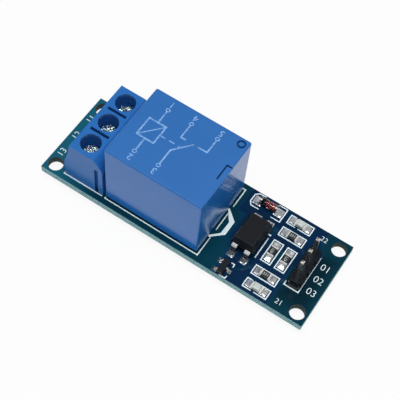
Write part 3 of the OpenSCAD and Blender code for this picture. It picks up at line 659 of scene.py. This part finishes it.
def number(name, text, at, height, z, weight, turn=0.0, finish=legend_ink,
           raise_mm=0.018):
    """Plain figures as a low raised print: their outline is filled, lifted by raise_mm and set down on z.

    A weight above 0 fattens the figures by that much, and one below 0 thins them.
    """
    curve = bpy.data.curves.new(name, "FONT")
    curve.body = text
    curve.align_x, curve.align_y = "CENTER", "CENTER"
    curve.size = height / FIGURE_SHARE * MM
    curve.offset = weight * MM
    curve.extrude = raise_mm / 2 * MM
    curve.resolution_u = 3
    shape = bpy.data.objects.new(name, curve)
    bpy.context.scene.collection.objects.link(shape)
    depsgraph = bpy.context.evaluated_depsgraph_get()
    mesh = bpy.data.meshes.new_from_object(shape.evaluated_get(depsgraph))
    bpy.data.objects.remove(shape)
    bpy.data.curves.remove(curve)
    place = Matrix.Translation((at[0] * MM, at[1] * MM, (z + raise_mm / 2) * MM))
    mesh.transform(place @ Matrix.Rotation(turn, 4, "Z"))
    settle(bpy.data.objects.new(name, mesh), finish, BODY)


for k, text in enumerate(("03", "02", "01")):
    at = (header[0] + 3.1 - 0.1 * k, (k - 1) * 2.62 - 0.15)
    number("pin_number_%d" % (k + 1), text, at, 1.35, deck, THINNER)
for k, text in enumerate(("13", "12", "11")):
    at = (block_low[0] - 3.05, (k - 1) * 4.35 - 0.2)
    number("pole_number_%d" % (k + 1), text, at, 1.3, deck, THINNER, turn=PI / 2)
led_1, led_2 = (centre_mm("led_base_" + n) for n in leds)
number("lamp_number_1", "21", (led_1[0] + 4.4, led_1[1] - 0.05), 1.0, deck, THIN)
number("lamp_number_2", "22", (header[0] - 0.1, led_2[1] - 0.1), 1.0, deck, THIN)

CODE_SUNK = 0.03  # the code lies this far below the highest point of its resistor
code_ink = Finish("resistor_code", (0.62, 0.66, 0.66), 0.5)
code_ink.colour(code_ink.mix(code_ink.noise(9.0), (0.32, 0.36, 0.38), (0.6, 0.64, 0.64)))
for node, text in zip(resistors, ("331", "471", "471", "331")):
    number(node + "_code", text, centre_mm(node), 0.54, span_mm(node)[1][2] - CODE_SUNK, 0.012,
           turn=0.0 if chip_lie(node)[0] else PI / 2, finish=code_ink, raise_mm=0.012)

# ---------------------------------------------------------------- relay's printed circuit sign

print_ink = Finish("relay_print", (0.25, 0.46, 0.82), 0.5)
wiped = print_ink.noise(3.0, detail=4.0)
print_ink.colour(print_ink.mix(wiped.step(0.3, 0.7), (0.11, 0.28, 0.64), (0.28, 0.5, 0.84)))
print_ink.bump(wiped, 0.004)
SIGN_BOLD, SIGN_FINE, SIGN_RING, SIGN_HIGH = 0.28, 0.22, 0.2, 0.015
SIGN_STRETCH = 1.12  # the sign is this much longer along X than it is written here
relay_middle = (relay_low + relay_high) / 2


def on_top(points):
    """Points of the sign as points on the relay's top, measured from its middle."""
    return [(relay_middle[0] + SIGN_STRETCH * x, relay_middle[1] + y) for x, y in points]


def sign_line(points, width=SIGN_BOLD, closed=False):
    """Line of the sign in dull blue ink."""
    return stroke(on_top(points), width, SIGN_HIGH, relay_high[2], closed)


def ring(x, y, radius):
    """28 points round a circle."""
    around = np.linspace(0, 2 * PI, 28, endpoint=False)
    return [(x + radius * math.cos(a), y + radius * math.sin(a)) for a in around]


# Coil with its slash, its two leads, the arm, the two contacts, and the broken line from coil to arm
sign = [
    sign_line(oblong(-6.3, -3.3, -1.9, 1.9), closed=True),
    sign_line([(-6.3, -1.9), (-3.3, 1.9)], SIGN_FINE),
    sign_line([(-4.8, 1.9), (-4.8, 4.6)]),
    sign_line([(-4.8, -1.9), (-4.8, -4.6)]),
    sign_line([(-0.6, -4.6), (-0.6, -1.4), (1.7, 1.75)]),
    sign_line([(-0.6, 4.6), (-0.6, 1.7), (0.35, 1.7)]),
    sign_line([(4.0, 4.6), (4.0, 1.7), (2.4, 1.7)]),
]
sign += [sign_line([(x0, 0.0), (x1, 0.0)], SIGN_FINE) for x0, x1 in ((-3.3, -2.3), (-1.7, -0.7), (-0.1, 0.5))]
pins = ((-4.8, 1), (-4.8, -1), (-0.6, -1), (-0.6, 1), (4.0, 1))  # place along X, and side of the sign
sign += [sign_line(ring(x, side * 4.9, 0.3), SIGN_RING, closed=True) for x, side in pins]
piece("relay_circuit_sign", sign, print_ink)
for k, (x, side) in enumerate(pins):
    number("relay_number_%d" % (k + 1), str(k + 1), on_top([(x, side * 6.2)])[0], 1.25, relay_high[2], 0.02,
           turn=PI, finish=print_ink, raise_mm=SIGN_HIGH)

# ---------------------------------------------------------------- solder

RIGHT, LEFT, BACK, FRONT = (1, 0), (-1, 0), (0, 1), (0, -1)  # ways outwards on the board
LEAN, FULL = (0.36, 1.9), (0.58, 1.2)  # a resistor's fillet: its height, and how hollow it is
TUCK, RUN, CHIP_HALF_WIDE = 0.02, 0.95, 0.63  # a chip's fillet: length under its end, length out, half width
pad_top = span_mm("solder_pads")[1][2]


def fillet(centre, inner, outer, half_width, height, way, hollow=1.9):
    """Solder run-out from a part's end to the edge of its pad, from inner to outer along way.

    s goes from the part outwards and t across. Height falls as (1 - s) to the power hollow, and is rounded
    off across by 1 - t to the sixth. Under it lies a film with steep edges, and the whole narrows outwards
    as 1 less a share of s squared.
    """
    film, narrowing = 0.03, 0.12
    s = np.linspace(0, 1, 9)[:, None]
    t = np.linspace(-1, 1, 11)[None, :]
    rise = height * (1 - s) ** hollow * (1 - t ** 6) + film * (1 - s ** 8) * (1 - t ** 8)
    out_by = inner + (outer - inner) * s + 0 * t
    over = half_width * t * (1 - narrowing * s ** 2)
    x = centre[0] + way[0] * out_by - way[1] * over
    y = centre[1] + way[1] * out_by + way[0] * over
    return np.stack([x, y, pad_top + rise], -1)


fillets = []
for node in resistors:
    along_x, half = chip_lie(node)
    for way in (RIGHT, LEFT) if along_x else (BACK, FRONT):
        height, hollow = FULL if way == BACK else LEAN
        fillets.append(fillet(centre_mm(node), half - TUCK, half + RUN, CHIP_HALF_WIDE, height, way, hollow))
for node in ("led_base_" + n for n in leds):
    half = chip_lie(node)[1]
    for way in (RIGHT, LEFT):
        fillets.append(fillet(centre_mm(node), half - TUCK, half + RUN, CHIP_HALF_WIDE, 0.26, way))
for end in (-1, 1):
    cap = (diode[0] + end * 1.56, diode[1])
    fillets.append(fillet(diode, 1.7, 2.93, 0.8, 0.62, (end, 0)))
    fillets += [fillet(cap, 0.35, 0.84, 0.3, 0.4, way) for way in (FRONT, BACK)]
lead_low, lead_high = span_mm("optocoupler_leads")
for x in (lead_low[0] + 0.5, lead_high[0] - 0.5):
    for y, out in ((lead_high[1], 1), (lead_low[1], -1)):
        fillets.append(fillet((x, y), -0.06, 0.33, 0.6, 0.03, (0, out)))
        fillets += [fillet((x, y - out * 0.4), 0.46, 0.68, 0.36, 0.03, way) for way in (LEFT, RIGHT)]
foot_low, foot_high = span_mm("transistor_leads")
feet = [(foot_high[0], transistor[1], RIGHT), (foot_low[0], foot_low[1] + 0.2, LEFT),
        (foot_low[0], foot_high[1] - 0.2, LEFT)]
fillets += [fillet((x, y), -0.05, 0.38, 0.36, 0.1, way) for x, y, way in feet]
piece("pad_solder", fillets, FINISHES["solder"])

# ---------------------------------------------------------------- glass diode


def turned_along_x(profile, centre, count=40):
    """Profile of (x, radius) pairs turned about the line through centre along X."""
    along, radius = np.asarray(profile, float)[:, :1], np.asarray(profile, float)[:, 1:]
    around = np.linspace(0, 2 * PI, count, endpoint=False)[None, :]
    x = centre[0] + along + 0 * around
    return np.stack([x, centre[1] + radius * np.cos(around), centre[2] + radius * np.sin(around)], -1)


glass_low, glass_high = span_mm("diode_glass")
glass_end = (glass_high[0] - glass_low[0]) / 2
glass_radius = (glass_high[2] - glass_low[2]) / 2
glass = Finish("diode_glass", (0.95, 0.74, 0.7), 0.04, Transmission_Weight=1.0, IOR=1.5)
glass.drive("Roughness", glass.noise(4.0) * 0.06 + 0.02)
half_tube = [(glass_end - 0.22, glass_radius), (glass_end - 0.08, glass_radius * 0.95),
             (glass_end, glass_radius * 0.8), (glass_end, 0.0)]
tube = [(-x, radius) for x, radius in reversed(half_tube)] + half_tube
tube_piece = piece("diode_glass_tube", [turned_along_x(tube, diode)], glass, joined=True)
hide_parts("diode_glass")
die = Finish("diode_die", (0.55, 0.05, 0.03), 0.3)
cathode_band = die.x.step(diode[0] - glass_end * 0.3, diode[0] - glass_end * 0.3 - 0.05)
red = die.mix(die.noise(2.2, detail=2.0).step(0.35, 0.65), (0.12, 0.012, 0.016), (0.68, 0.15, 0.16))
die.colour(die.mix(cathode_band, red, (0.01, 0.01, 0.012)))
die_radius = glass_radius * 0.86
core_shares = [(-glass_end + 0.1, 0.0), (-glass_end + 0.1, 1.0), (-0.35, 1.0), (-0.22, 0.72), (0.05, 0.62),
               (0.4, 0.8), (glass_end - 0.35, 0.85), (glass_end - 0.1, 0.7), (glass_end - 0.1, 0.0)]
core = [(x, die_radius * share) for x, share in core_shares]
piece("diode_die", [turned_along_x(core, diode, 28)], die, joined=True)

# ---------------------------------------------------------------- relay's leaf spring


def sheet_strip(line, half_widths, thickness):
    """Strip of sheet metal: a rectangle lying across Y, carried along a line of (x, z) points.

    Each point moves half the thickness to either side along the line's normal and its half width to either
    side of Y = 0, and both ends are closed.
    """
    run = np.gradient(line, axis=0)
    normal = np.stack([-run[:, 1], run[:, 0]], 1) / np.linalg.norm(run, axis=1)[:, None] * thickness / 2
    upper, lower = line + normal, line - normal
    edges = ((upper, -half_widths), (upper, half_widths), (lower, half_widths), (lower, -half_widths))
    rows = np.stack([np.stack([face[:, 0], y, face[:, 1]], -1) for face, y in edges], 1)
    start, end = (np.repeat(row.mean(0)[None], 4, 0)[None] for row in (rows[0], rows[-1]))
    return np.concatenate([start, rows, end])


# The strip lies on the armature, turns over its back edge and goes down the yoke's back, where it is riveted.
# It is measured from the armature's hinge, and bends between the hinge and the top of the terminal's lug.
SPRING_THICK, TONGUE_HALF, SPRING_HALF = 0.18, 1.4, 2.5
# Along X: the tip of the narrow tongue, the neck where it widens in one step, and the end of the flat part
TIP, NECK, NECK_STEP, FLAT_END = -13.7, -10.1, 0.001, -0.6
# Corners of the bend's quadratic curve, from the flat part to the leg
BEND_START, BEND_CORNER, BEND_END = np.array([(-0.477, 1.18), (0.25, 1.18), (0.25, -0.1)])
rock = next(joint for joint in frame["record"]["behaviour"]["joints"] if joint["name"] == "armature_rock")
hinge_x, _, hinge_z = (v / MM for v in rock["pos_m"])
flat_x = np.array([TIP, NECK - NECK_STEP, NECK, FLAT_END])
flat_part = np.stack([flat_x, np.interp(flat_x, [TIP, FLAT_END], [2.014, 1.19])], 1)
gone = np.linspace(0, 1, 9)[:, None]
left = 1 - gone
bend_part = left ** 2 * BEND_START + 2 * gone * left * BEND_CORNER + gone ** 2 * BEND_END
leg_z = np.linspace(-0.3, -7.2, 24)
leg_part = np.stack([np.interp(-leg_z, [0.1, 1.0], [0.25, 0.11]), leg_z], 1)
spring_line = np.concatenate([flat_part, bend_part, leg_part]) + [hinge_x, hinge_z]
spring_half = np.where(spring_line[:, 0] < hinge_x + NECK - NECK_STEP / 2, TONGUE_HALF, SPRING_HALF)
leaf_strip = piece("leaf_spring_strip", [sheet_strip(spring_line, spring_half, SPRING_THICK)],
                   FINISHES["spring_bronze"], body=None, smooth=False, joined=True)
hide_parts("relay_leaf_spring")
(hinge_z - 0.1) * MM
(hinge_z - 4.8) * MM
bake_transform(leaf_strip)

# ---------------------------------------------------------------- LEDs

LENS_GAP, DIE_GAP = 0.002, 0.005  # above the LED's base


def pillow(low, high):
    """Low lens over the box from low to high, a hair above its seat and closed below.

    u and v go from -1 to 1 across the box. Height is the square root of (1 - |u| to the eighth) times
    (1 - |v| to the eighth), and the lens leans in along X as it rises.
    """
    u = np.linspace(-1, 1, 21)[:, None]
    v = np.linspace(-1, 1, 17)[None, :]
    middle, half, height = (low + high) / 2, (high - low) / 2, high[2] - low[2]
    lift = height * ((1 - np.abs(u) ** 8) * (1 - np.abs(v) ** 8)) ** 0.5
    lean = 1 - 0.1 * lift / height
    y, z = middle[1] + half[1] * v + 0 * u, low[2] + LENS_GAP
    top = np.stack([middle[0] + half[0] * u * lean + 0 * v, y, z + lift], -1)
    under = np.stack([middle[0] + half[0] * u + 0 * v, y, z + 0 * lift], -1)
    return [top, under]


lens = Finish("led_lens", (0.86, 0.88, 0.76), 0.12, Transmission_Weight=0.2, IOR=1.45)
lens_haze = lens.noise(3.0)
lens.drive("Roughness", lens_haze * 0.1 + 0.1)
lens.colour(lens.mix(lens_haze, (0.66, 0.73, 0.71), (0.8, 0.85, 0.81)))
# Under the lens, each with its line, its width and its height
UNDER_LENS = [
    ([(-0.35, 0.0), (-0.05, 0.0)], 0.34, 0.12),              # die
    ([(-0.15, 0.0), (0.5, 0.03)], 0.05, 0.16),               # bond wire
    ([(0.3, -0.4), (0.62, 0.0), (0.3, 0.4)], 0.16, 0.03),    # pad that the wire goes to
]
for n in leds:
    low, high = span_mm("led_lens_" + n)
    shell = piece("led_lens_shell_" + n, pillow(low, high), lens)
    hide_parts("led_lens_" + n)
    under_lens = [stroke(shifted((low + high) / 2, line), width, height, low[2] + DIE_GAP)
                  for line, width, height in UNDER_LENS]
    piece("led_die_" + n, under_lens, FINISHES["spring_bronze"])

# ---------------------------------------------------------------- tracks under the mask

tracks_top = [
    [(12.6, 3.0), (14.2, 3.9), (15.6, 4.4)],
    [(18.8, 4.5), (20.4, 2.9), (22.1, 2.6)],
    [(12.7, -3.9), (14.0, -4.5), (15.6, -4.5)],
    [(18.8, -4.5), (20.2, -3.4), (22.1, -2.6)],
    [(20.6, 0.2), (22.1, 0.0)],
    [(15.8, -1.6), (15.8, -2.6), (13.4, -5.6), (11.8, -6.6)],
]
# Under the board, each with its width: lanes of the three poles, then the coil's and the header's tracks
tracks_under = [
    (1.9, [(-16.0, 5.1), (-11.0, 6.0)]),
    (1.9, [(-16.0, -5.1), (-11.0, -6.0)]),
    (2.6, [(-16.0, 0.0), (-8.0, 0.6), (3.1, 0.0)]),
    (0.5, [(1.2, 6.0), (5.6, 6.6), (9.0, 6.6)]),
    (0.5, [(1.2, -6.0), (6.0, -5.4), (9.3, -6.4)]),
    (0.5, [(22.1, 2.5), (18.0, 5.6), (11.0, 5.6)]),
    (0.5, [(22.1, 0.0), (14.0, 0.8), (10.0, 3.0)]),
    (0.5, [(22.1, -2.5), (17.0, -6.2), (9.0, -7.3)]),
]
TRACK_WIDE, TRACK_HIGH, LANE_HIGH = 0.42, 0.007, 0.015
track_mask = Finish("mask_over_tracks", (0.004, 0.05, 0.09), 0.2, Specular_IOR_Level=0.3)
track_cloud = track_mask.noise(0.5)
track_mask.colour(track_mask.mix(track_cloud, (0.002, 0.024, 0.06), (0.005, 0.045, 0.1)))
track_mask.drive("Roughness", track_cloud * 0.1 + 0.16)
ribbons = [stroke(line, TRACK_WIDE, TRACK_HIGH, deck) for line in tracks_top]
piece("mask_tracks_top", ribbons, track_mask)
lanes = [stroke(line, width, LANE_HIGH, 0.0) * (1, 1, -1) for width, line in tracks_under]
piece("mask_tracks_under", lanes, track_mask)

# ---------------------------------------------------------------- stage, light and camera

WHITE = (1, 1, 1, 1)
FLOOR_M = 4.0                  # half the floor's side
FLOOR_GLOW = 0.9               # how much of the floor's own white the camera, gloss and glass see
FILL = 0.35                    # strength of the room's light on the object
OVERHEAD, HORIZON = 0.19, 0.85  # how bright the room looks in reflections, from above to the horizon


def ray_kinds(tree):
    """Fields that are 1 for camera rays, glossy rays and transmission rays."""
    rays = tree.nodes.new("ShaderNodeLightPath")
    return [Field(tree, rays.outputs["Is %s Ray" % kind]) for kind in ("Camera", "Glossy", "Transmission")]


floor_mesh = bpy.data.meshes.new("floor")
floor_corners = [(x, y, cad_low.z) for x, y in oblong(-FLOOR_M, FLOOR_M, -FLOOR_M, FLOOR_M)]
floor_mesh.from_pydata(floor_corners, [], [(0, 1, 2, 3)])
floor = bpy.data.objects.new("floor", floor_mesh)
bpy.context.scene.collection.objects.link(floor)
pale = bpy.data.materials.new("pale_floor")
pale.use_nodes = True
nodes, links = pale.node_tree.nodes, pale.node_tree.links
nodes.clear()
diffuse, glow, blend = (nodes.new("ShaderNode" + kind) for kind in ("BsdfDiffuse", "Emission", "MixShader"))
diffuse.inputs["Color"].default_value = (0.86, 0.86, 0.86, 1)
glow.inputs["Color"].default_value = WHITE
camera_ray, glossy_ray, glass_ray = ray_kinds(pale.node_tree)
links.new((camera_ray.most(glossy_ray).most(glass_ray) * FLOOR_GLOW).socket, blend.inputs[0])
links.new(diffuse.outputs[0], blend.inputs[1])
links.new(glow.outputs[0], blend.inputs[2])
links.new(blend.outputs[0], nodes.new("ShaderNodeOutputMaterial").inputs["Surface"])
floor_mesh.materials.append(pale)

world = bpy.data.worlds.new("studio")
bpy.context.scene.world = world
world.use_nodes = True
nodes, links = world.node_tree.nodes, world.node_tree.links
background = nodes["Background"]
background.inputs["Color"].default_value = WHITE
camera_ray, glossy_ray, glass_ray = ray_kinds(world.node_tree)
# In reflections the room is dark overhead and white along the horizon
toward = nodes.new("ShaderNodeTexCoord")
parts = nodes.new("ShaderNodeSeparateXYZ")
links.new(toward.outputs["Generated"], parts.inputs[0])
room = Field(world.node_tree, parts.outputs[2]).step(0.5, 0.05) * (HORIZON - OVERHEAD) + OVERHEAD
plain_view = camera_ray.most(glass_ray) * (1 - FILL) + FILL
links.new((plain_view * glossy_ray.flip() + room * glossy_ray).socket, background.inputs["Strength"])


def stand(name, data, place, right, up, back):
    """Puts a lamp or the camera in its place, with its own three axes along right, up and back."""
    obj = bpy.data.objects.new(name, data)
    bpy.context.scene.collection.objects.link(obj)
    obj.matrix_world = Matrix([[right[i], up[i], back[i], place[i]] for i in range(3)] + [[0, 0, 0, 1]])
    return obj


lamp = bpy.data.lights.new("overhead_lamp", "AREA")
lamp.shape, lamp.size, lamp.energy = "SQUARE", 0.2, 1.22
lamp_place, lamp_aim = np.array([0.03, -0.04, 0.42]), np.array([0, 0, 0.005])
back = lamp_place - lamp_aim
back /= np.linalg.norm(back)
right = np.cross((0, 0, 1), back)
right /= np.linalg.norm(right)
stand("overhead_lamp", lamp, lamp_place, right, np.cross(back, right), back)

camera_data = bpy.data.cameras.new("camera")
camera_data.sensor_width, camera_data.lens = 36, 94.24
camera_data.clip_start, camera_data.clip_end = 0.01, 10
forward = np.array([-0.22798, 0.44237, -0.86737])
right = np.array([0.83450, 0.54773, 0.06001])
eye = np.array([42.07, -80.23, 161.79]) * MM
bpy.context.scene.camera = stand("camera", camera_data, eye, right, np.cross(right, forward), -forward)
bpy.context.scene.view_settings.view_transform = "Standard"
